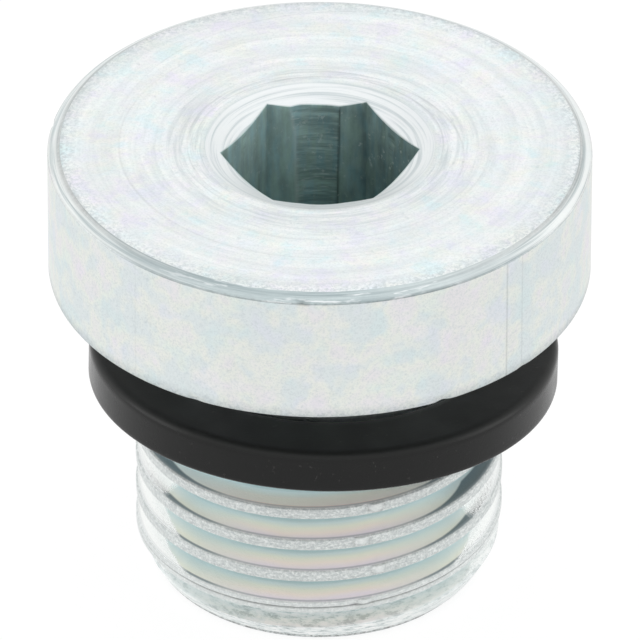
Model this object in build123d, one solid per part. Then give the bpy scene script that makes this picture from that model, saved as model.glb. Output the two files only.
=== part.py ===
from build123d import *
from math import cos, radians, sin, tan
import os

os.makedirs("parts", exist_ok=True)

# Lengths are in millimetres and angles in degrees.
# Z points up, and the origin is the centre of the end face that the plug stands on.
# The front is -Y. The body is one turned piece of steel, and the seal is a loose rubber ring.

# Pipe thread G 1/4, right hand, 55 degree form with rounded roots
thread_full_diameter = 13.157
thread_crest_shortfall = 0.1035
thread_pitch = 1.337
thread_angle = 55.0
thread_depth_in_pitches = 0.640327
root_radius_in_pitches = 0.137329
thread_start_direction = 327.0

# Shank from the head's underside to the end face
shank_length = 12.0
relief_length = 4.9
relief_below_root = 0.12
relief_flank_angle = 45.0
lead_in_width = 0.69
lead_in_angle = 30.0
end_edge_radius = 0.25

# Seal ring
ring_width = 2.45
ring_thickness = 1.5
ring_edge_radius = 0.18
ring_play = 0.2
ring_tilt = 4.6
ring_tilt_direction = 255.5
ring_shift_right = 0.13
ring_shift_forward = 0.10
ring_seat_gap = 0.05

# Head
head_height = 5.0
seat_land_width = 1.15
seat_edge_break = 0.1
recess_clearance = 0.1
ring_stand_out = 0.4
rim_chamfer_width = 0.45
rim_chamfer_height = 0.25

# Hexagon socket
hex_across_flats = 6.0
hex_depth = 7.0
hex_turn = 2.2
pilot_oversize = 0.106
pilot_chip_room = 1.3
drill_point_angle = 118.0
countersink_land = 0.58
countersink_angle = 132.0

# Sizes that follow from the thread
thread_depth = thread_depth_in_pitches * thread_pitch
root_rounding = root_radius_in_pitches * thread_pitch
root_radius = thread_full_diameter / 2 - thread_depth
crest_radius = thread_full_diameter / 2 - thread_crest_shortfall
relief_radius = root_radius - relief_below_root
end_radius = crest_radius - lead_in_width
lead_in_height = lead_in_width / tan(radians(lead_in_angle))

# Heights
underside_height = shank_length
relief_height = underside_height - relief_length
relief_flank_height = (crest_radius - relief_radius) * tan(radians(relief_flank_angle))
total_height = underside_height + head_height

# Sizes that follow from the ring
ring_bore_radius = relief_radius + ring_play
ring_outer_radius = ring_bore_radius + ring_width
recess_radius = ring_outer_radius + recess_clearance
recess_depth = ring_thickness - ring_stand_out
head_radius = recess_radius + seat_land_width

# Sizes that follow from the socket
pilot_radius = hex_across_flats / 2 + pilot_oversize
hex_corner_radius = hex_across_flats / 2 / cos(radians(30))
countersink_radius = hex_corner_radius + countersink_land


def turned(*points):
    """Solid turned about Z from a closed outline of (radius, height) points."""
    with BuildSketch(Plane.XZ) as outline:
        with BuildLine():
            Polyline(*points, close=True)
        make_face()
    return revolve(outline.sketch, Axis.Z)


def head_blank():
    """Flat round head with a chamfered rim and the ring's recess sunk in its underside."""
    recess_floor = underside_height + recess_depth
    return turned(
        (0, recess_floor),
        (recess_radius, recess_floor),
        (recess_radius, underside_height),
        (head_radius - seat_edge_break, underside_height),
        (head_radius, underside_height + seat_edge_break),
        (head_radius, total_height - rim_chamfer_height),
        (head_radius - rim_chamfer_width, total_height),
        (0, total_height),
    )


def shank_blank():
    """Shank up to the recess floor: rounded end, lead-in cone, thread land and relief."""
    blank = turned(
        (0, 0),
        (end_radius, 0),
        (crest_radius, lead_in_height),
        (crest_radius, relief_height - relief_flank_height),
        (relief_radius, relief_height),
        (relief_radius, underside_height + recess_depth),
        (0, underside_height + recess_depth),
    )
    end_edge = blank.edges().filter_by(GeomType.CIRCLE).group_by(Axis.Z)[0]
    return fillet(end_edge, end_edge_radius)


def groove_section(outer_radius):
    """Thread groove in the XZ plane: a V with straight flanks and a rounded root."""
    half_angle = radians(thread_angle / 2)
    rounding_centre = root_radius + root_rounding
    tangent_radius = rounding_centre - root_rounding * sin(half_angle)
    tangent_half_width = root_rounding * cos(half_angle)
    mouth_half_width = tangent_half_width + (outer_radius - tangent_radius) * tan(half_angle)
    with BuildSketch(Plane.XZ) as section:
        with BuildLine():
            flank = Line((outer_radius, -mouth_half_width), (tangent_radius, -tangent_half_width))
            root = ThreePointArc(
                flank @ 1, (root_radius, 0), (tangent_radius, tangent_half_width)
            )
            Polyline(root @ 1, (outer_radius, mouth_half_width), flank @ 0)
        make_face()
    return section.sketch


def threaded_rod():
    """Rod of the crest's size with one helical groove, entering at the end face."""
    groove_start = -thread_pitch
    groove_end = relief_height + thread_pitch
    clear_of_crest = 0.12 * thread_pitch
    path = Helix(thread_pitch, groove_end - groove_start, crest_radius)
    groove = sweep(groove_section(crest_radius + clear_of_crest), path=path, is_frenet=True)
    groove = Rot(Z=thread_start_direction) * Pos(Z=groove_start) * groove
    rod_length = underside_height + recess_depth + thread_pitch
    rod = Cylinder(crest_radius, rod_length, align=(Align.CENTER, Align.CENTER, Align.MIN))
    return rod - groove


def hexagon_socket():
    """Countersunk mouth, drilled pilot and the broached hexagon."""
    countersink_depth = countersink_radius / tan(radians(countersink_angle / 2))
    pilot_depth = hex_depth + pilot_chip_room
    point_depth = pilot_depth + pilot_radius / tan(radians(drill_point_angle / 2))
    pilot = turned(
        (0, 0),
        (pilot_radius, 0),
        (pilot_radius, -pilot_depth),
        (0, -point_depth),
    )
    countersink = turned((0, 0), (countersink_radius, 0), (0, -countersink_depth))
    hexagon = extrude(RegularPolygon(hex_corner_radius, 6, rotation=hex_turn), -hex_depth)
    return Pos(Z=total_height) * (pilot + countersink + hexagon)


def plug_body():
    """Head and threaded shank in one piece, with the socket sunk in the head."""
    threaded_shank = shank_blank() & threaded_rod()
    return head_blank() + threaded_shank - hexagon_socket()


def seal_ring():
    """Flat rubber ring with rounded edges, lying loose and tilted on the end of the thread."""
    with BuildSketch(Plane.XZ) as section:
        with Locations(((ring_bore_radius + ring_outer_radius) / 2, ring_thickness / 2)):
            RectangleRounded(ring_width, ring_thickness, ring_edge_radius)
    ring = revolve(section.sketch, Axis.Z)
    flank_drop = ring_play * tan(radians(relief_flank_angle))
    low_side_drop = ring_bore_radius * sin(radians(ring_tilt))
    seat_height = relief_height - flank_drop + low_side_drop + ring_seat_gap
    tilt = Rot(Z=ring_tilt_direction) * Rot(Y=-ring_tilt) * Rot(Z=-ring_tilt_direction)
    return Pos(ring_shift_right, -ring_shift_forward, seat_height) * tilt * ring


export_step(plug_body(), "parts/plug_body.step")
export_step(seal_ring(), "parts/seal_ring.step")
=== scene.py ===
"""Zinc plated pipe plug with a loose rubber seal ring, dressed and set in a plain studio."""

from math import atan, atan2, ceil, copysign, cos, pi, radians, sin, sqrt, tan

import bmesh
import bpy
import numpy as np
from bpy.props import FloatProperty, FloatVectorProperty, PointerProperty
from bpy.types import Operator, Panel, PropertyGroup
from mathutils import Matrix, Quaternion, Vector


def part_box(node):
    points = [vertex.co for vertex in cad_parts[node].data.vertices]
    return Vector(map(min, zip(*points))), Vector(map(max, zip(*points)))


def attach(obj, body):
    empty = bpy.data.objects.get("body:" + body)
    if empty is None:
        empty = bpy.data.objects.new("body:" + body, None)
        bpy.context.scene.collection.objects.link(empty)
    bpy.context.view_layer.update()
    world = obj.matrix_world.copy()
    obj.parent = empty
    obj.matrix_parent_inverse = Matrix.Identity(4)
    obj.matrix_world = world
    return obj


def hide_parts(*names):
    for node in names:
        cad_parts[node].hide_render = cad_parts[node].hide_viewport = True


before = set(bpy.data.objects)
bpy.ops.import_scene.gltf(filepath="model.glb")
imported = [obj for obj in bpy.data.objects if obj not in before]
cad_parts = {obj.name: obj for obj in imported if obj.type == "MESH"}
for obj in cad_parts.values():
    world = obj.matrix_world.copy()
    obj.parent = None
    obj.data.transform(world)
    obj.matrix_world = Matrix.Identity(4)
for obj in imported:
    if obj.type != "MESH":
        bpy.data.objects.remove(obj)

bl_info = {
    "name": "Threaded Plug",
    "version": (1, 0, 0),
    "blender": (4, 5, 0),
    "location": "3D View > Sidebar > Plug",
    "description": "Builds a zinc plated pipe plug with a rubber seal ring on its neck",
    "category": "Object",
}

MM = 0.001
FULL_TURN = 2.0 * pi
HEXAGON_CORNER = 1.0 / cos(radians(30.0))
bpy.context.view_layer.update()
BODY_LOW, BODY_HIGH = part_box("plug_body")

# Points closer than this are one point
MERGE_DISTANCE = 0.0008 * MM

# The photograph: its width, the sensor's width, and how far right of and above the picture's
# middle the centre of the head's rim is, in pixels
PICTURE_WIDTH = 640.0
SENSOR_WIDTH = 36.0
RIM_RIGHT = -0.129
RIM_ABOVE = 169.242

WHITE = (1.0, 1.0, 1.0)
BLACK = (0.0, 0.0, 0.0)


# Settings


def number(name, description, value, **options):
    """A number that the user can change."""
    return FloatProperty(name=name, description=description, default=value, **options)


def length(name, description, millimetres):
    """A length that the user can change, given in millimetres and kept in metres."""
    return number(name, description, millimetres * MM, subtype="DISTANCE", precision=5)


def angle(name, description, degrees):
    """An angle that the user can change, given in degrees and kept in radians."""
    return number(name, description, radians(degrees), subtype="ANGLE")


def colour(name, description, *rgb):
    """A linear colour that the user can change."""
    return FloatVectorProperty(
        name=name, description=description, default=rgb, size=3, min=0.0, max=1.0, subtype="COLOR"
    )


def share(name, description, value):
    """A share from 0 to 1 that the user can change."""
    return number(name, description, value, min=0.0, max=1.0, subtype="FACTOR")


def power(name, description, value):
    """A lamp's power that the user can change."""
    return number(name, description, value, min=0.0, unit="POWER")


class PlugThreadSettings(PropertyGroup):
    """Sizes of the right-hand pipe thread, its lead-in and the relief above it."""

    full_diameter: length("Full Diameter", "Diameter of the thread's full form", 13.157)
    crest_shortfall: length("Crest Shortfall", "How far the crests stay inside that", 0.1035)
    pitch: length("Pitch", "Height of one turn", 1.337)
    depth_in_pitches: share("Depth In Pitches", "Thread depth as a share of the pitch", 0.640327)
    root_in_pitches: share("Root In Pitches", "Root rounding as a share of the pitch", 0.137329)
    flank_angle: angle("Thread Angle", "Angle between the two flanks", 55.0)
    start_direction: angle("Start Direction", "Where the groove's middle meets the end", 327.0)
    lead_in_width: length("Lead-in Width", "How far the lead-in cone cuts the radius", 0.69)
    lead_in_angle: angle("Lead-in Angle", "Angle of the lead-in cone to the axis", 30.0)
    end_edge_radius: length("End Edge Radius", "Rounding of the end face's edge", 0.25)
    relief_height: length("Relief Height", "Where the relief has its full depth", 7.1)
    relief_below_root: length("Relief Below Root", "How far the neck is inside the root", 0.12)
    crest_rounding: length("Crest Rounding", "Softness of the crests' edges", 0.08)
    crest_swell: length("Crest Swell", "How far rolling has spread each crest's edges", 0.045)


class PlugHeadSettings(PropertyGroup):
    """Sizes of the head and of the seal's recess under it."""

    radius: length("Head Radius", "Outer radius", -BODY_LOW.x / MM)
    total_height: length("Total Height", "Height of the head's top", BODY_HIGH.z / MM)
    underside_height: length("Underside Height", "Height of the seat land", 12.0)
    land_width: length("Land Width", "Width of the seat land", 1.15)
    land_edge: length("Land Edge", "Rounding of the seat land's outer edge", 0.1)
    recess_depth: length("Recess Depth", "Depth of the seal's recess", 1.1)
    rim_width: length("Rim Chamfer Width", "Width of the top rim's chamfer", 0.45)
    rim_height: length("Rim Chamfer Height", "Height of the top rim's chamfer", 0.25)


class PlugSocketSettings(PropertyGroup):
    """Sizes of the hexagon socket with its pilot hole and countersink."""

    across_flats: length("Across Flats", "Width of the hexagon", 6.0)
    depth: length("Hexagon Depth", "Depth of the hexagon", 7.0)
    turn: angle("Hexagon Turn", "Direction of the first corner", 2.2)
    pilot_oversize: length("Pilot Oversize", "How far the pilot passes the flats", 0.106)
    pilot_ovalness: length("Pilot Ovalness", "How much less it does so at the sides", 0.118)
    pilot_taper: length("Pilot Taper", "How much narrower it is at the hexagon's floor", 0.035)
    pilot_room: length("Chip Room", "Depth of the pilot below the hexagon", 1.3)
    tear_depth: length("Tear Depth", "How far the broach tore the back flat's left edge", 0.09)
    tear_length: length("Tear Length", "How far down that tear reaches", 1.4)
    tear_direction: angle("Tear Direction", "Where the tear is", 104.0)
    point_angle: angle("Drill Point Angle", "Angle of the pilot's pointed end", 118.0)
    mouth_land: length("Countersink Land", "How far the countersink passes the corners", 0.58)
    mouth_angle: angle("Countersink Angle", "Full angle of the countersink", 132.0)


class PlugRingSettings(PropertyGroup):
    """Sizes and place of the rubber seal ring."""

    bore_radius: length("Bore Radius", "Inner radius", 5.8024)
    width: length("Width", "Radial width", 2.45)
    thickness: length("Thickness", "Thickness", 1.5)
    edge_radius: length("Upper Edge Radius", "Rounding of the two upper edges", 0.26)
    lower_edge_radius: length("Lower Edge Radius", "Rounding of the two lower edges", 0.10)
    seat_height: length("Seat Height", "Height of the underside's centre", 7.415)
    shift_right: length("Shift Right", "How far it sits off the axis to the right", 0.13)
    shift_forward: length("Shift Forward", "How far it sits off the axis to the front", 0.10)
    tilt: angle("Tilt", "How far it leans", 4.6)
    tilt_direction: angle("Tilt Direction", "Where its high side is", 255.5)


class PlugFinishSettings(PropertyGroup):
    """Colours and roughness of the plated steel and the rubber."""

    zinc: colour("Zinc", "Bright zinc of the head's top", 0.95, 0.985, 1.0)
    # The zinc under everything but the top, darker than the top's zinc by painted shade
    zinc_side_shaded: colour("Zinc Side", "Slightly creamy zinc of the head's side", 0.73, 0.785, 0.79)
    zinc_shade: colour("Zinc Shade", "Grey of the mottling and turning marks", 0.50, 0.56, 0.58)
    film_teal: colour("Film Teal", "Teal tint of the passivation film", 0.62, 0.79, 0.80)
    film_cream: colour("Film Cream", "Cream tint of the film", 0.93, 0.90, 0.76)
    film_rose: colour("Film Rose", "Rose tint of the film", 0.92, 0.80, 0.82)
    film_violet: colour("Film Violet", "Violet tint of the film", 0.76, 0.75, 0.90)
    socket_steel: colour("Socket Steel", "Dull grey-green of the socket's walls", 0.34, 0.49, 0.48)
    rubber: colour("Rubber", "Black rubber", 0.0030, 0.0032, 0.0030)
    zinc_roughness: share("Zinc Roughness", "Roughness of the plated faces", 0.40)
    rubber_roughness: share("Rubber Roughness", "Roughness of the rubber", 0.26)


class PlugStudioSettings(PropertyGroup):
    """The camera's place and the strength of the studio's light."""

    distance: length("Camera Distance", "From the camera to the head's rim", 500.0)
    elevation: angle("Camera Elevation", "Height of the camera's view", 33.761)
    roll: angle("Camera Roll", "Lean of the camera", 0.162)
    focal_length: number(
        "Focal Length", "In millimetres, on a 36 mm sensor", 807.39, subtype="DISTANCE_CAMERA"
    )
    fill: share("Fill Light", "Strength of the light from all round", 0.80)
    key: power("Top Light", "Power of the upper lamp", 0.14)
    sides: power("Side Lights", "Power of each side lamp", 0.16)


# Mesh building


def mesh_from_grid(name, points, values, sharp_angle):
    """Object from a grid of points, its rows going outwards or up and its columns going round.

    The first and last columns lie on each other and are merged, as are the points of a pole.
    """
    rows, columns = points.shape[:2]
    corner = np.arange(rows * columns).reshape(rows, columns)
    quads = np.stack(
        [corner[:-1, :-1], corner[:-1, 1:], corner[1:, 1:], corner[1:, :-1]], axis=-1
    ).reshape(-1, 4)
    mesh = bpy.data.meshes.new(name)
    mesh.from_pydata(points.reshape(-1, 3), [], quads)
    for label, value in values.items():
        layer = mesh.attributes.new(label, "FLOAT", "POINT")
        value = np.broadcast_to(value, (rows, columns)).astype(np.float32)
        layer.data.foreach_set("value", value.ravel())
    shape = bmesh.new()
    shape.from_mesh(mesh)
    bmesh.ops.remove_doubles(shape, verts=shape.verts, dist=MERGE_DISTANCE)
    shape.to_mesh(mesh)
    shape.free()
    mesh.shade_smooth()
    mesh.set_sharp_from_angle(angle=sharp_angle)
    piece = bpy.data.objects.new(name, mesh)
    bpy.context.scene.collection.objects.link(piece)
    return piece


def evenly(start, end, count):
    """Points that divide a straight run into equal steps, without its start."""
    return start + (end - start) * np.linspace(0.0, 1.0, count + 1)[1:, None]


def outline(points, roundings, steps):
    """Rows of (radius, height) along straight runs whose corners are rounded by arcs.

    Each corner's arc touches both runs at rounding times the tangent of half the turn, and
    each run is divided evenly into the given number of steps. The first point is left out.
    """
    points = np.asarray(points, dtype=float)
    runs = np.diff(points, axis=0)
    runs /= np.linalg.norm(runs, axis=1, keepdims=True)
    rows = []
    start = points[0]
    for corner, run, onward, rounding, count in zip(points[1:], runs, runs[1:], roundings, steps):
        turn = atan2(run[0] * onward[1] - run[1] * onward[0], run @ onward)
        first = corner - rounding * tan(abs(turn) / 2.0) * run
        rows.append(evenly(start, first, count))
        arm = copysign(rounding, turn) * np.array([run[1], -run[0]])
        across = np.array([-arm[1], arm[0]])
        bend = evenly(0.0, turn, 3)
        rows.append(first - arm + np.cos(bend) * arm + np.sin(bend) * across)
        start = rows[-1][-1]
    rows.append(evenly(start, points[-1], steps[-1]))
    return np.concatenate(rows).T


def clamped(values):
    """Numbers kept between 0 and 1."""
    return np.clip(values, 0.0, 1.0)


def peak(offset, breadth):
    """1 where an offset is zero, falling in a straight line to 0 at the breadth each side."""
    return clamped(1.0 - np.abs(offset) / breadth)


def bell(offset):
    """A bell curve, 1 where an offset is zero: e to the power of minus its square."""
    return np.exp(-(offset**2))


def smooth_noise(seed, around, height, turns, rises, count):
    """Seamless noise from minus 1 to 1: a sum of waves, each whole times round the axis."""
    draw = np.random.default_rng(seed)
    total = np.zeros(np.broadcast(around, height).shape)
    for _ in range(count):
        times = draw.integers(turns[0], turns[1])
        rise = draw.uniform(-rises, rises) / MM
        total += np.cos(times * around + rise * height + draw.uniform(0.0, FULL_TURN))
    return total / sqrt(count)


# Threaded body


def thread_form(thread):
    """Radii of roots and crests, the roots' rounding, where flanks touch it, and their slope.

    A flank touches the rounding as far aside as the rounding times the cosine of half the
    thread's angle, and as far above the root as the rounding times one less its sine.
    """
    full = thread.full_diameter / 2.0
    root = full - thread.depth_in_pitches * thread.pitch
    rounding = thread.root_in_pitches * thread.pitch
    half_angle = thread.flank_angle / 2.0
    touch = rounding * cos(half_angle)
    foot = root + rounding * (1.0 - sin(half_angle))
    return root, full - thread.crest_shortfall, rounding, touch, foot, tan(half_angle)


def off_direction(around, direction):
    """Angles round the axis from a direction, between minus and plus half a turn."""
    return (around - direction + pi) % FULL_TURN - pi


def thread_radius(thread, around, height):
    """Radius of the thread's surface, a groove that climbs one pitch a turn.

    Across the groove the root is a circular arc, the flanks are straight lines that touch
    it, and the crest is flat. The crest's edges are softened by a smooth minimum.
    """
    pitch = thread.pitch
    root, crest, rounding, touch, foot, slope = thread_form(thread)
    offset = height - pitch * (around - thread.start_direction) / FULL_TURN
    across = np.abs((offset + pitch / 2.0) % pitch - pitch / 2.0)
    across += thread.crest_swell * clamped((across - touch) / (0.3 * pitch))
    flank = foot + (across - touch) / slope
    arc = root + rounding - np.sqrt(np.maximum(rounding**2 - across**2, 0.0))
    groove = np.where(across < touch, arc, flank)
    soft = thread.crest_rounding
    share_crest = clamped(0.5 + 0.5 * (groove - crest) / soft)
    surface = groove * (1.0 - share_crest) + crest * share_crest
    surface -= soft * share_crest * (1.0 - share_crest)
    return surface, clamped((surface - root) / (crest - root))


def crest_marks(thread, around, height):
    """Depth of the knocks and the fold on the crests, and how much of each is at a point.

    A knock is a raised bell curve in both directions with a shallow sunken one beside it. The
    fold is a V along the lowest crest's middle, which fades towards the back.
    """
    depth = np.zeros(np.broadcast(around, height).shape)
    knocked = np.zeros_like(depth)
    # Direction, height and reach of each knock
    knocks = ((287.9, 5.97, 0.10), (283.4, 4.62, 0.09), (288.9, 3.30, 0.11), (284.3, 1.93, 0.10))
    for direction, level, reach in knocks:
        off = off_direction(around, radians(direction)) / radians(1.3)
        near = bell((height - level * MM) / (0.22 * MM))
        bump = bell(off / 1.5)
        depth += reach * MM * near * (0.5 * bell(off + 2.2) - 0.6 * bump)
        knocked += near * bump
    offset = height - thread.pitch * (around - thread.start_direction) / FULL_TURN
    fold = peak(offset % thread.pitch - thread.pitch / 2.0, 0.05 * MM)
    fold *= clamped(0.35 - np.sin(around)) * (height < 2.4 * MM)
    return depth + 0.05 * MM * fold, fold, clamped(knocked)


def thread_rows(thread, around, top):
    """Grid from the middle of the end face up to the neck, its rows climbing with the thread.

    A point's path along the section is its row's start plus one pitch for each turn. Below
    zero it runs to the middle of the end face, then round the end's edge, then straight up.
    """
    pitch = thread.pitch
    root, crest, _, touch, foot, slope = thread_form(thread)
    mouth = touch + (crest - foot) * slope - thread.crest_swell
    places = [0.0, 0.36, 0.7, 1.0, 1.3, 1.6, 1.82, 1.95, 2.12, 2.42, 2.76, 3.0]
    knots = np.interp(places, range(4), [0.0, touch, mouth, pitch / 2.0])
    knots = np.concatenate([-knots[:0:-1], knots[:-1]])

    edge = thread.end_edge_radius
    lean = pi / 2.0 - thread.lead_in_angle
    flat_radius = crest - thread.lead_in_width - edge * tan(lean / 2.0)
    edge_path = edge * lean
    edge_top = edge * (1.0 - cos(lean))
    middle_path = 0.55 * pitch
    lift = edge_path - edge_top

    first = thread.start_direction / FULL_TURN * pitch
    turns = np.arange(-3, ceil((top + lift) / pitch) + 2)
    starts = (knots[None, :] + turns[:, None] * pitch - first + lift).ravel()
    starts = starts[(starts > -middle_path - 2.1 * pitch) & (starts < top + lift + pitch)]
    path = starts[:, None] + pitch * around / FULL_TURN
    path = np.clip(path, -middle_path, top + lift)

    bend = np.clip(path / edge, 0.0, lean)
    height = np.where(path < edge_path, edge * (1.0 - np.cos(bend)), path - lift)
    cone_foot = flat_radius + edge * sin(lean)
    cone = cone_foot + (height - edge_top) * tan(thread.lead_in_angle)
    end_radius = np.where(path < edge_path, flat_radius + edge * np.sin(bend), cone)
    neck = root - thread.relief_below_root
    relief = np.maximum(neck, neck + thread.relief_height - height)
    surface, rise = thread_radius(thread, around, height)
    crest_share = clamped((rise - 0.93) / 0.06)
    rough = smooth_noise(11, around, height, (20, 160), 22.0, 26)
    dents = smooth_noise(12, around, height, (9, 60), 6.0, 14)
    wear = 0.006 * MM * rough + 0.05 * MM * clamped(dents - 1.6)
    surface -= crest_share * np.clip(wear, 0.0, None)
    marks, fold, knocked = crest_marks(thread, around, height)
    surface -= crest_share * marks
    radius = np.minimum(np.minimum(surface, end_radius), relief)
    radius = np.where(path < 0.0, flat_radius * (1.0 + path / middle_path), radius)
    threaded = (path > 0.0) & (surface <= end_radius) & (height < thread.relief_height)
    rise = clamped((radius - root) / (crest - root))
    values = {
        "rise": rise * threaded,
        "on_thread": threaded,
        "lead_in": (path > edge_path) & (end_radius < surface),
        "fold": fold * crest_share * threaded,
        "knocked": knocked * crest_share * threaded,
    }
    return radius, height, values


def hexagon_radius(socket, around):
    """Distance from the axis to a regular hexagon's side: half its width over a cosine."""
    sixth = radians(60.0)
    off_middle = (around - socket.turn) % sixth - sixth / 2.0
    return socket.across_flats / 2.0 / np.cos(off_middle)


def mouth_radius(socket):
    """Radius of the countersink's edge."""
    return socket.across_flats / 2.0 * HEXAGON_CORNER + socket.mouth_land


def socket_rows(socket, top, around):
    """Grid from the countersink's edge down to the drill point, and what is where on it.

    The wall is the farther of the hexagon and the pilot, which shows most at the front and
    back and is torn wider at one edge. The countersink ends where its cone is as narrow as
    that wall.
    """
    slope = tan(socket.mouth_angle / 2.0)
    hexagon = hexagon_radius(socket, around)
    mouth = mouth_radius(socket)
    pilot = socket.across_flats / 2.0 + socket.pilot_oversize
    pilot_round = pilot - socket.pilot_ovalness * np.cos(around) ** 2 * (1.0 + np.sin(around) ** 2)
    off_tear = off_direction(around, socket.tear_direction) / radians(9.0)
    tear = socket.tear_depth * bell(off_tear)
    meets = (mouth - np.maximum(hexagon, pilot_round + 0.7 * tear)) / slope

    cone_share = np.linspace(0.0, 1.0, 12)[1:, None]
    cone_depth = meets * cone_share
    cone_radius = mouth - cone_depth * slope

    wall_share = (np.linspace(0.0, 1.0, 22)[1:, None]) ** 1.2
    wall_depth = meets + (socket.depth - meets) * wall_share
    pilot_here = pilot_round + tear * clamped(1.0 - wall_depth / socket.tear_length)
    pilot_here += socket.pilot_taper * (0.35 - wall_depth / socket.depth)
    wall_radius = np.maximum(hexagon, pilot_here)
    half_scallop = np.arccos(clamped(socket.across_flats / 2.0 / pilot_here))
    back = radians(92.0)
    off_edge = (around - back + half_scallop) * pilot

    # Down the pilot below the hexagon, then in to the drill's point
    down = np.array([0.0, 0.5, 1.0, 1.0, 1.0, 1.0, 1.0])[:, None] * np.ones_like(around)
    inward = np.array([0.0, 0.0, 0.0, 0.25, 0.5, 0.75, 1.0])[:, None]
    floor_depth = socket.depth + socket.pilot_room * down
    floor_depth += pilot / tan(socket.point_angle / 2.0) * inward

    radius = np.concatenate([cone_radius, wall_radius, pilot_round * (1.0 - inward)])
    depth = np.concatenate([cone_depth, wall_depth, floor_depth])
    cone, wall = len(cone_share), slice(len(cone_share), len(cone_share) + len(wall_share))
    labels = ("in_socket", "in_mouth", "drilled", "painted_edge_shadow", "painted_edge_highlight")
    values = {label: np.zeros_like(radius) for label in labels}
    values["in_mouth"][:cone] = 1.0
    values["in_socket"][cone - 1 :] = 1.0
    values["drilled"][cone:] = 1.0
    values["drilled"][wall] = pilot_here > hexagon
    # A painted shadow line along the back scallop's right edge
    values["painted_edge_shadow"][wall] = peak(off_edge, 0.075 * MM)
    # A painted highlight along the torn left edge of the scallop
    torn = (around > back) & (around < radians(125.0))
    values["painted_edge_highlight"][wall] = peak(pilot_here - hexagon, 0.03 * MM) * torn
    return radius, top - depth, values


def dented(radius, around, height, head):
    """The head's side with a few nicks knocked inwards, each a bell curve in both directions."""
    lower, upper = head.underside_height + 0.1 * MM, head.total_height - head.rim_height
    # Direction, height, breadth in degrees, reach up and down, and depth of each nick
    nicks = (
        (297.0, lower, 1.2, 0.14, 0.16),
        (266.0, upper, 0.8, 0.07, 0.05),
        (243.0, lower, 1.4, 0.10, 0.09),
        (318.0, lower, 0.9, 0.09, 0.08),
        (95.0, lower, 1.3, 0.12, 0.10),
        (170.0, upper, 1.0, 0.10, 0.07),
    )
    for direction, level, breadth, reach, depth in nicks:
        off = off_direction(around, radians(direction)) / radians(breadth)
        rise = (height - level) / (reach * MM)
        radius = radius - depth * MM * bell(off) * bell(rise) * (height > lower - 0.12 * MM)
    return radius


def body_surface(thread, head, socket):
    """The whole turned body as one grid, from the end face's middle to the drill point."""
    columns = 360
    step = FULL_TURN / columns
    around = socket.turn % step + step * np.arange(columns + 1)
    neck_start = thread.relief_height + 0.1 * MM
    neck = thread_form(thread)[0] - thread.relief_below_root
    underside = head.underside_height
    recess_top = underside + head.recess_depth
    land_inner = head.radius - head.land_width
    mouth = mouth_radius(socket)
    corners = [
        (neck, neck_start),
        (neck, recess_top),
        (land_inner, recess_top),
        (land_inner, underside),
        (head.radius, underside),
        (head.radius, head.total_height - head.rim_height),
        (head.radius - head.rim_width, head.total_height),
        (mouth, head.total_height),
    ]
    roundings = np.array([0.15, 0.08, 0.03, head.land_edge / MM, 0.07, 0.12]) * MM
    ring_radius, ring_height = outline(corners, roundings, [4, 4, 3, 4, 28, 4, 30])[..., None]
    ring_height = ring_height * np.ones_like(around)
    hair = 0.01 * MM
    on_side = (ring_height > underside + hair) & (ring_radius > head.radius - 0.1 * MM)
    on_top = (ring_height > head.total_height - hair) & (ring_radius > mouth)
    rim_foot = head.total_height - head.rim_height - 0.03 * MM
    on_rim = (ring_height > rim_foot) & ~on_top & (ring_radius > mouth)
    ring_radius = dented(ring_radius, around, ring_height, head)
    head_values = {"on_side": on_side, "on_top": on_top, "on_rim": on_rim}
    parts = (
        thread_rows(thread, around, neck_start),
        (ring_radius, ring_height, head_values),
        socket_rows(socket, head.total_height, around),
    )
    radius = np.concatenate([part[0] for part in parts])
    height = np.concatenate([part[1] for part in parts])
    points = np.stack([radius * np.cos(around), radius * np.sin(around), height], axis=-1)
    values = {}
    first = 0
    for part_radius, _, part_values in parts:
        last = first + len(part_radius)
        for label, part_value in part_values.items():
            values[label] = np.zeros_like(radius)
            values[label][first:last] = part_value
        first = last
    return points, values


# Seal ring


def ring_surface(ring):
    """A rounded rectangle carried round a circle, then leaned and shifted to its seat.

    Leaning turns each point in the upright plane through the lean's direction. Along that
    direction it lies at along times cosine less height times sine, and it rises to along times
    sine plus height times cosine.
    """
    columns = 288
    around = np.linspace(0.0, FULL_TURN, columns + 1)
    inner, outer = ring.bore_radius, ring.bore_radius + ring.width
    edge, lower, top = ring.edge_radius, ring.lower_edge_radius, ring.thickness
    middle = (inner + outer) / 2.0
    corners = [(middle, 0.0), (outer, 0.0), (outer, top), (inner, top), (inner, 0.0), (middle, 0.0)]
    radius, height = outline(corners, [lower, edge, edge, lower], [6, 10, 12, 10, 6])
    radius, height = np.append(middle, radius)[:, None], np.append(0.0, height)[:, None]

    east, north = cos(ring.tilt_direction), sin(ring.tilt_direction)
    right, back = radius * np.cos(around), radius * np.sin(around)
    along = right * east + back * north
    shift = along * (cos(ring.tilt) - 1.0) - height * sin(ring.tilt)
    right = right + shift * east + ring.shift_right
    back = back + shift * north - ring.shift_forward
    up = along * sin(ring.tilt) + height * cos(ring.tilt) + ring.seat_height
    values = {
        "upper": clamped(1.0 - (top - height) / (0.6 * edge)),
        # Painted light along the upper edges
        "painted_shoulder_light": peak(top - height - 0.35 * edge, 0.6 * edge),
    }
    return np.stack([right, back, up], axis=-1), values


# Materials


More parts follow.
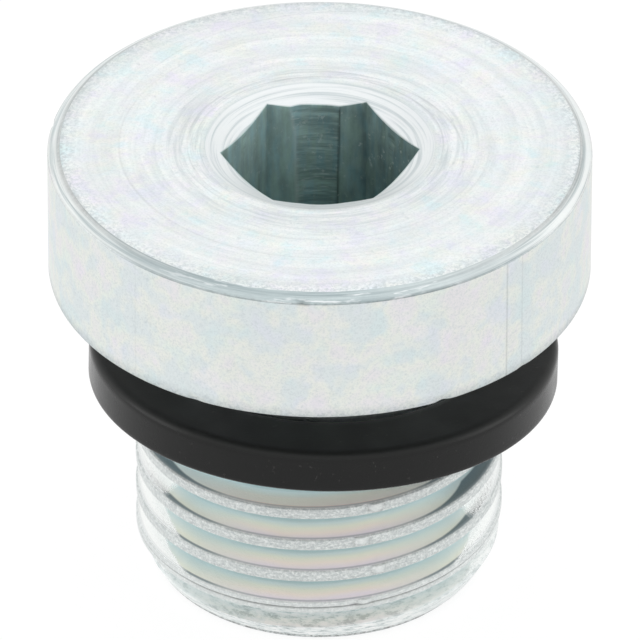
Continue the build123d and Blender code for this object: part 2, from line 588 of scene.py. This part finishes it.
class Signal:
    """A value inside a node tree, which takes part in plain arithmetic."""

    def __init__(self, nodes, socket):
        self.nodes = nodes
        self.socket = socket

    def __add__(self, other):
        return self.nodes.calc("ADD", self, other)

    def __sub__(self, other):
        return self.nodes.calc("SUBTRACT", self, other)

    def __rsub__(self, other):
        return self.nodes.calc("SUBTRACT", other, self)

    def __mul__(self, other):
        return self.nodes.calc("MULTIPLY", self, other)

    def rising(self, start, end):
        """0 at the start and 1 at the end, in a straight line between."""
        return (self * (1.0 / (end - start)) - start / (end - start)).clamped()

    def clamped(self):
        """The last step of arithmetic, kept between 0 and 1."""
        self.socket.node.use_clamp = True
        return self


class NodeTree:
    """Short calls for building a node tree."""

    def __init__(self, owner):
        owner.use_nodes = True
        self.tree = owner.node_tree
        self.tree.nodes.clear()
        self.place = None

    def add(self, kind, inputs=None, **settings):
        """Adds a node, sets its options, and links or sets its inputs."""
        node = self.tree.nodes.new(kind)
        for label, value in settings.items():
            setattr(node, label, value)
        for label, value in (inputs or {}).items():
            if isinstance(value, Signal):
                self.tree.links.new(value.socket, node.inputs[label])
            else:
                node.inputs[label].default_value = value
        return node

    def value(self, kind, inputs=None, output=0, **settings):
        """Adds a node and gives one of its outputs."""
        return Signal(self, self.add(kind, inputs, **settings).outputs[output])

    def calc(self, operation, *values):
        """One step of arithmetic."""
        return self.value("ShaderNodeMath", dict(enumerate(values)), operation=operation)

    def vector(self, operation, *values, output=0):
        """One step of vector arithmetic."""
        inputs = dict(enumerate(values))
        return self.value("ShaderNodeVectorMath", inputs, output, operation=operation)

    def object_place(self):
        """Sets the place of noises to the place on the object, in millimetres."""
        place = self.value("ShaderNodeTexCoord", output="Object")
        self.place = self.scaled(place, 1.0 / MM)

    def scaled(self, place, factor):
        """A vector times one number."""
        return self.value("ShaderNodeVectorMath", {0: place, "Scale": factor}, operation="SCALE")

    def pick(self, factor, first, second):
        """Mixes two numbers."""
        return self.value("ShaderNodeMix", {0: factor, 2: first, 3: second}, data_type="FLOAT")

    def blend(self, factor, first, second, mode="MIX"):
        """Mixes two colours."""
        first, second = (
            part if isinstance(part, Signal) else (*part, 1.0) for part in (first, second)
        )
        inputs = {0: factor, 6: first, 7: second}
        return self.value("ShaderNodeMix", inputs, 2, data_type="RGBA", blend_type=mode)

    def layered(self, base, *layers):
        """A colour under layers of (factor, colour)."""
        for factor, shade in layers:
            base = self.blend(factor, base, shade)
        return base

    def ramp(self, factor, *stops, span=1.0):
        """A colour ramp through stops of (place, colour), whose places run from 0 to the span."""
        if span != 1.0:
            factor = factor * (1.0 / span)
        node = self.add("ShaderNodeValToRGB", {0: factor})
        elements = node.color_ramp.elements
        elements[-1].position = stops[-1][0] / span
        elements[0].position = stops[0][0] / span
        for place, _ in stops[1:-1]:
            elements.new(place / span)
        for element, (_, shade) in zip(elements, stops):
            element.color = (*shade, 1.0) if np.ndim(shade) else (shade, shade, shade, 1.0)
        return Signal(self, node.outputs[0])

    def noise(self, scale, detail, roughness, place=None):
        """Fractal noise at a place in millimetres, or else at the place on the object."""
        place = place or self.place
        inputs = {"Vector": place, "Scale": scale, "Detail": detail, "Roughness": roughness}
        return self.value("ShaderNodeTexNoise", inputs, "Fac")

    def attribute(self, label):
        """A number kept on the mesh."""
        return self.value("ShaderNodeAttribute", output="Fac", attribute_name=label)

    def surface(self, inputs):
        """Puts the surface's shader on the material's output."""
        shader = self.value("ShaderNodeBsdfPrincipled", inputs)
        self.add("ShaderNodeOutputMaterial", {"Surface": shader})

    def bump(self, height, strength, distance, **below):
        """A bumped normal, the distance in millimetres."""
        inputs = {"Strength": strength, "Distance": distance * MM, "Height": height}
        return self.value("ShaderNodeBump", inputs | below)


class TurnedTree(NodeTree):
    """A node tree with places, directions and noises about the plug's axis, in millimetres."""

    def __init__(self, owner):
        super().__init__(owner)
        self.object_place()
        parts = self.add("ShaderNodeSeparateXYZ", {0: self.place}).outputs
        self.right, self.back, self.height = (Signal(self, part) for part in parts)
        self.flat = self.stretched(1.0, 0.0)
        self.direction = self.vector("NORMALIZE", self.flat)
        self.radius = self.vector("LENGTH", self.flat, output="Value")
        self.grain = self.noise(7.0, 4.0, 0.7)
        self.clouds = self.noise(0.45, 2.0, 0.5)
        self.mottle = self.ramp(self.grain, (0.34, 1.0), (0.56, 0.0))
        for label in ("on_thread", "on_side", "on_top", "in_socket", "in_mouth"):
            setattr(self, label, self.attribute(label))

    def stretched(self, sideways, upright):
        """The place with its plan and its height multiplied."""
        return self.vector("MULTIPLY", self.place, (sideways, sideways, upright))

    def moved(self, *offset):
        """The place shifted, for a noise of its own."""
        return self.vector("ADD", self.place, offset)

    def streaks(self, around, across, *noise):
        """Noise in streaks that run round the axis: slow with direction, fast across them."""
        offset = self.value("ShaderNodeCombineXYZ", {"Z": across})
        place = self.vector("ADD", self.scaled(self.direction, around), offset)
        return self.noise(*noise, place)

    def facing(self, degrees, spread):
        """1 towards one direction round the axis, falling to 0 at the spread in degrees."""
        turn = radians(degrees)
        way = (cos(turn), sin(turn), 0.0)
        aligned = self.vector("DOT_PRODUCT", self.direction, way, output="Value")
        return aligned.rising(cos(radians(spread)), 1.0)

    def near(self, offset, breadth):
        """1 where an offset is zero, falling to 0 within the breadth each side."""
        return (self.calc("ABSOLUTE", offset) * (-1.0 / breadth) + 1.0).clamped()

    def circle(self, centre, radius, breadth):
        """A circular line about a centre in plan."""
        offset = self.vector("SUBTRACT", self.flat, (*centre, 0.0))
        return self.near(self.vector("LENGTH", offset, output="Value") - radius, breadth)

    def upright(self, degrees, breadth):
        """An upright line at a direction round the axis."""
        turn = radians(degrees)
        across = (-sin(turn), cos(turn), 0.0)
        aside = self.vector("DOT_PRODUCT", self.flat, across, output="Value")
        return self.near(aside, breadth) * self.facing(degrees, 40.0)


def head_colour(at, finish, head):
    """Plate of the head: zinc darkened by painted shade except on the top, patches of film,
    mottling, specks, and a darker foot on the side.
    """
    side, shade = finish.zinc_side_shaded, finish.zinc_shade
    cool = at.ramp(
        at.noise(0.75, 2.0, 0.55),
        (0.36, finish.film_teal), (0.46, side), (0.54, side), (0.64, finish.film_violet),
    )
    warm = at.ramp(
        at.noise(0.85, 2.0, 0.55, at.moved(17.0, 5.0, 9.0)),
        (0.42, side), (0.54, finish.film_cream), (0.66, finish.film_rose),
    )
    specks = at.ramp(at.noise(3.2, 5.0, 0.75), (0.32, 1.0), (0.40, 0.0))
    tiny = at.ramp(at.noise(13.0, 2.0, 0.6), (0.34, 1.0), (0.50, 0.0))
    land = head.underside_height / MM
    foot = at.ramp(
        at.height, (land + 0.02, 1.0), (land + 0.18, 0.55), (land + 0.45, 0.0), span=20.0
    )
    foot = (foot * (at.mottle * 0.7 + 0.65) * (at.on_side * 0.8)).clamped()
    return at.layered(
        side,
        (at.on_top, finish.zinc),
        (at.on_side * 0.22 + 0.22, cool),
        (at.on_side * 0.20 + 0.18, warm),
        (at.mottle * 0.20, shade),
        (specks * 0.32, shade),
        (tiny * (at.on_top * -0.08 + 0.30), shade),
        (foot, (0.40, 0.45, 0.46)),
    )


def top_colour(at, finish, head, base, turning_fine, turning_broad):
    """The head's top over its plate: faint tints, a speckled border and turning marks."""
    shade = finish.zinc_shade
    cool = at.ramp(
        at.noise(0.85, 3.0, 0.6, at.moved(3.0, 21.0, 0.0)),
        (0.34, (0.90, 0.985, 1.0)), (0.43, (0.985, 1.0, 1.0)), (0.50, WHITE),
        (0.57, (1.0, 0.985, 0.99)), (0.66, (0.965, 0.93, 1.0)),
    )
    cream = at.noise(0.7, 3.0, 0.6, at.moved(31.0, 2.0, 0.0))
    cream = at.ramp(cream, (0.52, WHITE), (0.64, (1.0, 0.99, 0.955)))
    for tints in (cool, cream):
        base = at.blend(at.on_top, base, at.blend(1.0, base, tints, "MULTIPLY"))

    edge = (head.radius - head.rim_width) / MM
    border = at.ramp(at.radius, (edge - 0.75, 0.0), (edge - 0.05, 1.0), span=10.0)
    coarse = at.ramp(at.noise(3.4, 4.0, 0.75), (0.38, 1.0), (0.48, 0.0))
    speckled = border * at.on_top * at.calc("MAXIMUM", at.mottle, coarse)
    base = at.blend(speckled * 0.62, base, shade)

    fine = at.ramp(turning_fine, (0.36, 1.0), (0.56, 0.0))
    broad = at.ramp(turning_broad, (0.38, 1.0), (0.60, 0.0))
    near_socket = at.ramp(at.radius, (4.2, 1.0), (6.2, 0.25), span=10.0)
    marks = broad * 0.18 + fine * (near_socket * 0.54)
    return at.blend(marks * at.on_top, base, shade)


def scored(at, base):
    """Single scored lines: circles on the head's top and uprights on its side."""
    # Centre, radius and breadth, how dark, and the direction and spread where it shows
    for centre, radius, breadth, amount, towards, spread in (
        ((0.0, 0.0), 7.0, 0.06, 0.10, 200.0, 175.0),
        ((0.0, 0.0), 5.9, 0.05, 0.06, 300.0, 170.0),
        ((0.0, 0.0), 4.62, 0.05, 0.12, 150.0, 160.0),
        ((0.0, 0.0), 4.32, 0.05, 0.14, 60.0, 150.0),
        ((0.94, 0.40), 8.08, 0.05, 0.08, 105.0, 75.0),
        ((-0.05, -0.62), 5.06, 0.06, 0.14, 20.0, 70.0),
        ((0.0, 0.0), 9.0, 0.16, 0.07, 90.0, 178.0),
    ):
        mark = at.circle(centre, radius, breadth) * at.facing(towards, spread)
        base = at.blend(mark * at.on_top * amount, base, BLACK)
    # Direction, breadth and how dark
    for degrees, breadth, amount in ((313.0, 0.06, 0.20), (317.5, 0.05, 0.11), (228.0, 0.05, 0.05)):
        base = at.blend(at.upright(degrees, breadth) * at.on_side * amount, base, BLACK)
    return base


def rimmed(at, head, base):
    """The chamfered rim over the base: painted reflection, grey streaks in front and lighter lines
    at the sides.
    """
    top = head.total_height / MM
    foot = top - head.rim_height / MM
    edge = (head.radius - head.rim_width) / MM
    streaks = at.streaks(0.2, at.radius, 9.0, 4.0, 0.7)
    # Painted reflection: grey streaks for a darker reflection in front, lighter lines for a lighter
    # one at the sides
    rim = at.ramp(streaks, (0.36, (0.26, 0.33, 0.35)), (0.62, (0.56, 0.64, 0.65)))
    aside = 1.0 - at.facing(268.0, 64.0)
    lines = at.streaks(0.12, at.radius, 7.0, 3.0, 0.8)
    lines = at.ramp(lines, (0.40, (0.50, 0.56, 0.57)), (0.52, (0.97, 0.99, 0.98)))
    upper = at.ramp(at.height, (top - 0.08, 0.0), (top - 0.04, 1.0), span=20.0)
    dashes = at.ramp(at.streaks(0.6, at.height, 13.0, 3.0, 0.6), (0.57, 0.0), (0.64, 1.0))
    lower = at.ramp(at.height, (foot - 0.006, 1.0), (foot + 0.04, 0.0), span=20.0)
    rim = at.layered(
        rim,
        (at.mottle * 0.3, (0.40, 0.46, 0.47)),
        (aside * 0.9, lines),
        (upper * (at.grain + 0.2) * aside * 0.70, BLACK),
        (dashes * at.facing(270.0, 45.0) * 0.7, (0.92, 0.95, 0.96)),
        (lower * (at.mottle * 0.5 + 0.5) * 0.6, BLACK),
    )

    over_edge = at.ramp(at.radius, (edge - 0.15, 0.0), (edge, 0.45), span=10.0)
    over_edge = over_edge * (at.on_top * at.mottle)
    share_rim = at.calc("MAXIMUM", at.attribute("on_rim"), over_edge)
    # The painted reflection is strongest in front
    share_rim = share_rim * (at.facing(270.0, 105.0) * 0.35 + 0.60)
    nick = at.ramp(
        at.height, (foot - 0.09, 0.0), (foot - 0.02, 1.0), (foot + 0.09, 0.0), span=20.0
    )
    return at.layered(base, (share_rim, rim), (nick * at.facing(266.6, 1.8) * 0.45, BLACK))


def groove_colour(at, rise, near_ring, sideways):
    """The film's bands of colour up a groove's flank, cooler towards the sides; the dark teal at
    the root is painted shade.
    """
    across = rise + (at.clouds * 0.7 - 0.35) * rise
    across = across * (near_ring * -0.30 + 1.0)
    warmer = at.ramp(
        across,
        (0.02, (0.40, 0.55, 0.57)), (0.12, (0.72, 0.84, 0.85)), (0.34, (0.90, 0.91, 0.80)),
        (0.56, (0.96, 0.88, 0.81)), (0.80, (0.90, 0.84, 0.90)),
    )
    cooler = at.ramp(
        across,
        (0.02, (0.40, 0.55, 0.57)), (0.16, (0.66, 0.80, 0.82)), (0.45, (0.78, 0.86, 0.83)),
        (0.75, (0.88, 0.89, 0.78)),
    )
    return at.blend(sideways, warmer, cooler)


def painted_light_patches(at, rise, away, behind, shifted):
    """1 where light is painted on the grooves' sides as a reflection: past a slanting edge, but not
    by the ring.
    """
    shaded = at.ramp(shifted, (5.9, 0.0), (6.0, 1.0), span=10.0) * (1.0 - behind)
    slant = at.ramp(shifted, (4.4, 1.0), (4.6, 0.0), span=10.0)
    edge = slant * (rise * -30.0 + 16.0) + 57.0
    edge = at.clouds * 10.0 + (edge - 5.0)
    edge = at.grain * 6.0 + (edge - 3.0)
    painted_light_patch = (away - edge).rising(0.0, 3.0)
    return painted_light_patch * (1.0 - shaded) * (behind * -0.6 + 1.0)


def painted_flank_shade(at, rise, away, right_hand):
    """1 on the upper flank's dark crescents of painted shade, which widen towards the sides and the
    ring.
    """
    widening = away.rising(34.0, 56.0)
    widening = widening * widening * (right_hand * 0.6 + 0.4)
    higher = at.ramp(at.height, (2.5, 0.12), (4.5, 0.45), (6.2, 0.95), span=10.0)
    painted_crescent_shade = ((rise - (widening * higher * -0.7 + 0.80)) * 14.0).clamped()
    fading = at.ramp(away, (80.0, 0.0), (100.0, 1.0), span=200.0)
    return painted_crescent_shade * (away.rising(30.0, 38.0) - fading).clamped()


def thread_colour(at, thread, base):
    """The thread, its lead-in and the end's edge over the base.

    Angles are degrees from the front, and a level is a height that climbs with the thread.
    Also gives the crests' speckle, the painted light patches off the crests and the place by the
    ring.
    """
    rise = at.attribute("rise")
    turned = at.calc("ARCTAN2", at.right, at.back * -1.0)
    away = at.calc("ABSOLUTE", turned) * (180.0 / pi)
    pitch = thread.pitch / MM
    level = turned * (-pitch / FULL_TURN) + at.height
    behind = at.ramp(away, (100.0, 0.0), (130.0, 1.0), span=200.0)
    near_ring = at.ramp(level, (5.9, 0.0), (6.0, 1.0), span=10.0) * (1.0 - behind)
    sideways = away.rising(16.5, 46.5)
    right_hand = at.right.rising(-1.0, 1.0)
    shifted = right_hand * pitch + level
    painted_light_patch = painted_light_patches(at, rise, away, behind, shifted)

    band = groove_colour(at, rise, near_ring, sideways)
    painted_crescent_shade = painted_flank_shade(at, rise, away, right_hand)
    # Painted shade: dark crescents on the upper flanks
    band = at.blend(painted_crescent_shade * 0.85, band, (0.07, 0.13, 0.16))
    # Painted shade: a dark line along each crest's upper edge, weaker in the painted light patches
    line = at.ramp(rise, (0.80, 0.0), (0.85, 1.0), (0.89, 1.0), (0.92, 0.0))

    speckle = at.noise(11.0, 3.0, 0.7)
    speckle = at.pick(0.45, at.streaks(2.6, at.height, 12.0, 4.0, 0.75), speckle)
    crest_tone = at.ramp(
        speckle, (0.37, (0.50, 0.54, 0.55)), (0.49, (0.65, 0.69, 0.68)), (0.61, (0.91, 0.94, 0.93))
    )
    knocked = at.attribute("knocked")
    whiter = at.ramp(at.height, (2.0, 0.40), (2.6, 0.0), span=10.0)
    # The crests' whitening towards the sides is painted highlight
    for share_white in (sideways * 0.08, knocked * 0.75):
        whiter = at.calc("MAXIMUM", share_white, whiter)
    crest = at.ramp(rise, (0.88, 0.0), (0.94, 1.0))
    around_knock = at.ramp(knocked, (0.03, 0.0), (0.14, 1.0), (0.22, 1.0), (0.45, 0.0))
    band = at.layered(
        band,
        # Painted light by the ring, making up for the ring's shade on the groove
        (near_ring, at.scaled(band, 1.16)),
        # Painted highlight: the light patches on the grooves' sides
        (painted_light_patch * 0.92, (0.97, 0.99, 0.98)),
        (line * (painted_light_patch * -0.45 + 0.6), (0.30, 0.35, 0.37)),
        (crest, at.blend(whiter, crest_tone, (0.90, 0.93, 0.92))),
        # The fold darkened: painted shade in the crease
        (at.attribute("fold") * 0.55, BLACK),
        (around_knock * (at.mottle * 0.8 + 0.2) * 0.32, BLACK),
    )

    end_tone = at.ramp(
        at.streaks(1.0, at.height, 13.0, 5.0, 0.75),
        (0.40, (0.44, 0.49, 0.49)), (0.48, (0.78, 0.83, 0.82)), (0.58, (0.97, 0.97, 0.96)),
    )
    # Paler towards the sides: painted highlight
    end_tone = at.blend(sideways * 0.5, end_tone, (0.86, 0.90, 0.89))
    end_groove = at.ramp(at.height, (1.0, 0.75), (1.6, 0.0), span=10.0)
    lead_edge = at.ramp(at.height, (0.12, 1.0), (0.18, 1.0), (0.23, 0.0), span=2.0)
    end_edge = at.ramp(at.height, (0.20, 1.0), (0.28, 0.0), span=2.0)
    base = at.layered(
        base,
        (at.on_thread, at.blend(end_groove, band, end_tone)),
        (at.attribute("lead_in") * 0.95, at.blend(lead_edge * at.mottle * 0.8, end_tone, BLACK)),
        (end_edge * (at.mottle * 0.7 + 0.3) * 0.60, BLACK),
    )
    return base, speckle, painted_light_patch * (crest * -0.7 + 1.0), near_ring


def socket_colour(at, finish):
    """Dull steel with upright broaching lines, level drilling lines, hues, a painted shadow and a
    painted highlight at the scallop's edges, painted light on the left walls, painted shade on the
    right walls, and glints.

    Also gives the lines for the relief.
    """
    drilled = at.attribute("drilled")
    striae = at.noise(2.4, 3.5, 0.6, at.stretched(1.0, 0.12))
    blotches = at.noise(1.6, 4.0, 0.65, at.stretched(1.0, 0.6))
    drill_lines = at.noise(3.6, 4.0, 0.75, at.stretched(0.12, 1.0))
    lines = at.pick(drilled, at.pick(0.5, striae, blotches), drill_lines)
    low, high = (tuple(part * tone for part in finish.socket_steel) for tone in (0.66, 1.16))
    wall = at.ramp(lines, (0.38, low), (0.60, high))
    hues = at.ramp(
        at.noise(3.2, 2.0, 0.6, at.stretched(1.0, 0.25)),
        (0.38, (0.86, 0.97, 1.04)), (0.50, WHITE), (0.62, (1.02, 1.03, 0.95)),
    )
    wall = at.blend(0.85, wall, hues, "MULTIPLY")
    scratches = at.noise(3.4, 2.0, 0.6, at.stretched(0.35, 2.2))
    scratches = at.ramp(scratches, (0.63, 0.0), (0.70, 1.0))
    glints = at.ramp(at.noise(3.0, 4.0, 0.7), (0.60, 0.0), (0.68, 1.0))
    wall = at.layered(
        wall,
        (scratches * (drilled * 0.5), (0.62, 0.72, 0.70)),
        # Painted light on the left walls and painted shade on the right walls
        (at.facing(150.0, 60.0) * 0.12, (0.80, 0.95, 0.94)),
        (at.facing(30.0, 62.0) * 0.45, BLACK),
        (at.attribute("painted_edge_shadow") * 0.72, BLACK),
        (at.attribute("painted_edge_highlight") * 0.38, (0.70, 0.78, 0.76)),
        (glints * 0.36, (0.75, 0.82, 0.80)),
    )
    return wall, lines


def mouth_colour(at):
    """The countersink's turned lines, with painted light making the near side paler."""
    lines = at.streaks(0.07, at.radius, 8.0, 3.0, 0.6)
    tone = at.ramp(lines, (0.38, (0.58, 0.64, 0.66)), (0.53, (0.88, 0.91, 0.92)))
    # Painted light towards the front
    return at.blend(at.facing(270.0, 80.0) * 0.65, tone, (0.93, 0.96, 0.96))


def zinc_material(finish, thread, head):
    """Bright zinc with a clear iridescent film, turning marks and dull socket walls."""
    material = bpy.data.materials.new("zinc_plate")
    at = TurnedTree(material)
    sweep = at.noise(1.0, 2.0, 0.5, at.scaled(at.direction, 1.5))
    wobbling = at.radius + (sweep * 0.2 - 0.10)
    turning_fine = at.streaks(0.28, wobbling, 6.5, 4.0, 0.7)
    turning_broad = at.streaks(0.5, wobbling, 1.7, 2.0, 0.6)

    base = head_colour(at, finish, head)
    base = top_colour(at, finish, head, base, turning_fine, turning_broad)
    base = rimmed(at, head, scored(at, base))
    base, speckle, painted_light_patch, near_ring = thread_colour(at, thread, base)
    wall, wall_lines = socket_colour(at, finish)
    base = at.blend(at.in_socket, base, wall)
    base = at.blend(at.in_mouth * (1.0 - at.in_socket) * 0.8, base, mouth_colour(at))

    relief = at.streaks(0.6, at.height, 8.0, 3.0, 0.6) * 0.4
    relief = at.pick(at.on_top, relief, turning_fine)
    relief = at.pick(at.on_thread, relief, speckle * 2.0)
    relief = at.pick(at.in_socket, relief, wall_lines * 1.2)
    normal = at.bump(relief, 0.35, 0.03)
    normal = at.bump(at.grain, 0.3, 0.02, Normal=normal)

    roughness = at.in_socket * 0.12 + (at.grain * 0.16 + (finish.zinc_roughness - 0.08))
    roughness = roughness - painted_light_patch * at.on_thread * 0.2
    on_flank = near_ring * -0.30 + (painted_light_patch * 0.55 - 0.65)
    metallic = at.in_mouth * -0.30 + (at.on_thread * on_flank + 0.95)
    metallic = (at.in_socket * -0.80 + metallic).clamped()
    at.surface(
        {"Base Color": base, "Metallic": metallic, "Roughness": roughness, "Normal": normal}
    )
    return material


def rubber_material(finish):
    """Semi-gloss black rubber with faint moulding lines, a little dust and painted light along the
    upper edges.
    """
    material = bpy.data.materials.new("black_rubber")
    nodes = NodeTree(material)
    nodes.object_place()
    fine = nodes.noise(9.0, 4.0, 0.6)
    broad = nodes.noise(0.9, 2.0, 0.5)
    dust = nodes.ramp(nodes.noise(6.0, 2.0, 0.5), (0.69, 0.0), (0.75, 1.0))
    base = nodes.layered(
        finish.rubber,
        (broad, [2.0 * tone for tone in finish.rubber]),
        (dust * 0.22, (0.12, 0.115, 0.11)),
        # Painted light along the upper edges
        (nodes.attribute("painted_shoulder_light"), (0.014, 0.015, 0.014)),
    )
    roughness = broad * 0.2 + (finish.rubber_roughness - 0.1)
    roughness = nodes.attribute("upper") * 0.3 + roughness
    inputs = {"Base Color": base, "Roughness": roughness, "Specular IOR Level": 0.27}
    nodes.surface(inputs | {"Normal": nodes.bump(fine, 0.2, 0.02)})
    return material


# Operators


class PLUG_OT_body(Operator):
    """Build the threaded body with its head, recess and hexagon socket"""

    bl_idname = "plug.body"
    bl_label = "Threaded Body"

    def execute(self, context):
        scene = context.scene
        points, values = body_surface(scene.plug_thread, scene.plug_head, scene.plug_socket)
        piece = mesh_from_grid("threaded_body", points, values, radians(26.0))
        zinc = zinc_material(scene.plug_finish, scene.plug_thread, scene.plug_head)
        piece.data.materials.append(zinc)
        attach(piece, "root")
        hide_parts("plug_body")
        return {"FINISHED"}


class PLUG_OT_ring(Operator):
    """Build the rubber seal ring that hangs on the neck"""

    bl_idname = "plug.ring"
    bl_label = "Seal Ring"

    def execute(self, context):
        scene = context.scene
        points, values = ring_surface(scene.plug_ring)
        piece = mesh_from_grid("rubber_ring", points, values, radians(60.0))
        piece.data.materials.append(rubber_material(scene.plug_finish))
        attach(piece, "root")
        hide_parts("seal_ring")
        return {"FINISHED"}


def area_lamp(name, place, target, size, power):
    """A square soft lamp at a place, turned towards a target."""
    lamp = bpy.data.lights.new(name, "AREA")
    lamp.shape = "SQUARE"
    lamp.size = size
    lamp.energy = power
    holder = bpy.data.objects.new(name, lamp)
    holder.location = place
    holder.rotation_euler = (Vector(target) - Vector(place)).to_track_quat("-Z", "Y").to_euler()
    bpy.context.scene.collection.objects.link(holder)


def seen_ray(nodes):
    """1 for rays that show the background: from the camera, or off or through something glossy."""
    camera, glossy, through = (
        nodes.value("ShaderNodeLightPath", output=f"Is {kind} Ray")
        for kind in ("Camera", "Glossy", "Transmission")
    )
    return nodes.calc("MAXIMUM", nodes.calc("MAXIMUM", camera, glossy), through)


def floor_plane():
    """Matt pale floor just under the plug, white where a ray shows it and clear from below."""
    side = (-1.5, 1.5)
    corners = np.array([[(right, back, -0.01 * MM) for right in side] for back in side])
    floor = mesh_from_grid("floor", corners, {}, 1.0)
    material = bpy.data.materials.new("floor_white")
    nodes = NodeTree(material)
    matt = nodes.value("ShaderNodeBsdfDiffuse", {"Color": (0.93, 0.93, 0.93, 1.0)})
    glow = nodes.value("ShaderNodeEmission", {"Color": (*WHITE, 1.0), "Strength": 1.09})
    clear = nodes.value("ShaderNodeBsdfTransparent")
    under = nodes.value("ShaderNodeNewGeometry", output="Backfacing")
    mixed = nodes.value("ShaderNodeMixShader", {0: seen_ray(nodes) * 0.80, 1: matt, 2: glow})
    mixed = nodes.value("ShaderNodeMixShader", {0: under, 1: mixed, 2: clear})
    nodes.add("ShaderNodeOutputMaterial", {"Surface": mixed})
    floor.data.materials.append(material)


def studio_world(scene, fill):
    """Even white light from all round, at full strength for rays that show it."""
    world = bpy.data.worlds.new("studio_white")
    scene.world = world
    nodes = NodeTree(world)
    strength = seen_ray(nodes) * (1.0 - fill) + fill
    glow = nodes.value("ShaderNodeBackground", {"Color": (*WHITE, 1.0), "Strength": strength})
    nodes.add("ShaderNodeOutputWorld", {"Surface": glow})


def photo_camera(scene, studio, rim_height):
    """The photograph's camera, aimed so that the rim's centre lies where the picture has it."""
    rim_centre = Vector((0.0, 0.0, BODY_HIGH.z - rim_height))
    back = Vector((0.0, -cos(studio.elevation), sin(studio.elevation)))
    data = bpy.data.cameras.new("camera")
    data.sensor_width = SENSOR_WIDTH
    data.lens = studio.focal_length
    data.clip_start = 0.01
    data.clip_end = 10.0
    camera = bpy.data.objects.new("camera", data)
    scene.collection.objects.link(camera)
    camera.location = rim_centre + studio.distance * back
    pixels = studio.focal_length / SENSOR_WIDTH * PICTURE_WIDTH
    right = RIM_RIGHT - RIM_ABOVE * sin(studio.roll)
    aim = (-back).to_track_quat("-Z", "Y")
    aim = aim @ Quaternion((1.0, 0.0, 0.0), -atan(RIM_ABOVE / pixels))
    aim = aim @ Quaternion((0.0, 1.0, 0.0), atan(right / pixels))
    aim = aim @ Quaternion((0.0, 0.0, 1.0), studio.roll)
    camera.rotation_mode = "QUATERNION"
    camera.rotation_quaternion = aim
    scene.camera = camera


class PLUG_OT_studio(Operator):
    """Set the pale floor, the soft light and the camera"""

    bl_idname = "plug.studio"
    bl_label = "Studio"

    def execute(self, context):
        scene = context.scene
        studio = scene.plug_studio
        floor_plane()
        studio_world(scene, studio.fill)
        middle = (0.0, 0.0, 0.009)
        area_lamp("top_lamp", (0.06, 0.08, 0.40), middle, 0.50, studio.key)
        area_lamp("left_lamp", (-0.35, -0.02, 0.10), middle, 0.20, studio.sides)
        area_lamp("right_lamp", (0.35, -0.02, 0.10), middle, 0.20, studio.sides)
        photo_camera(scene, studio, scene.plug_head.rim_height)
        scene.view_settings.view_transform = "Standard"
        return {"FINISHED"}


# Panel and registration


class PLUG_PT_panel(Panel):
    """Lists the plug's pieces and settings"""

    bl_idname = "PLUG_PT_panel"
    bl_label = "Threaded Plug"
    bl_space_type = "VIEW_3D"
    bl_region_type = "UI"
    bl_category = "Plug"

    def draw(self, context):
        for operator, labels in PIECES:
            box = self.layout.box()
            box.operator(operator)
            for label in labels:
                group = getattr(context.scene, label)
                for key in group.bl_rna.properties.keys():
                    if key not in {"rna_type", "name"}:
                        box.prop(group, key)


PIECES = (
    ("plug.body", ("plug_thread", "plug_head", "plug_socket", "plug_finish")),
    ("plug.ring", ("plug_ring",)),
    ("plug.studio", ("plug_studio",)),
)
GROUPS = {
    "plug_thread": PlugThreadSettings,
    "plug_head": PlugHeadSettings,
    "plug_socket": PlugSocketSettings,
    "plug_ring": PlugRingSettings,
    "plug_finish": PlugFinishSettings,
    "plug_studio": PlugStudioSettings,
}
CLASSES = (*GROUPS.values(), PLUG_OT_body, PLUG_OT_ring, PLUG_OT_studio, PLUG_PT_panel)


def register():
    """Registers the classes and hangs the settings on the scene."""
    for item in CLASSES:
        bpy.utils.register_class(item)
    for label, group in GROUPS.items():
        setattr(bpy.types.Scene, label, PointerProperty(type=group))


def unregister():
    """Takes the settings and classes away again."""
    for label in GROUPS:
        delattr(bpy.types.Scene, label)
    for item in reversed(CLASSES):
        bpy.utils.unregister_class(item)


def main():
    register()
    bpy.ops.plug.body()
    bpy.ops.plug.ring()
    bpy.ops.plug.studio()


if __name__ == "__main__":
    main()
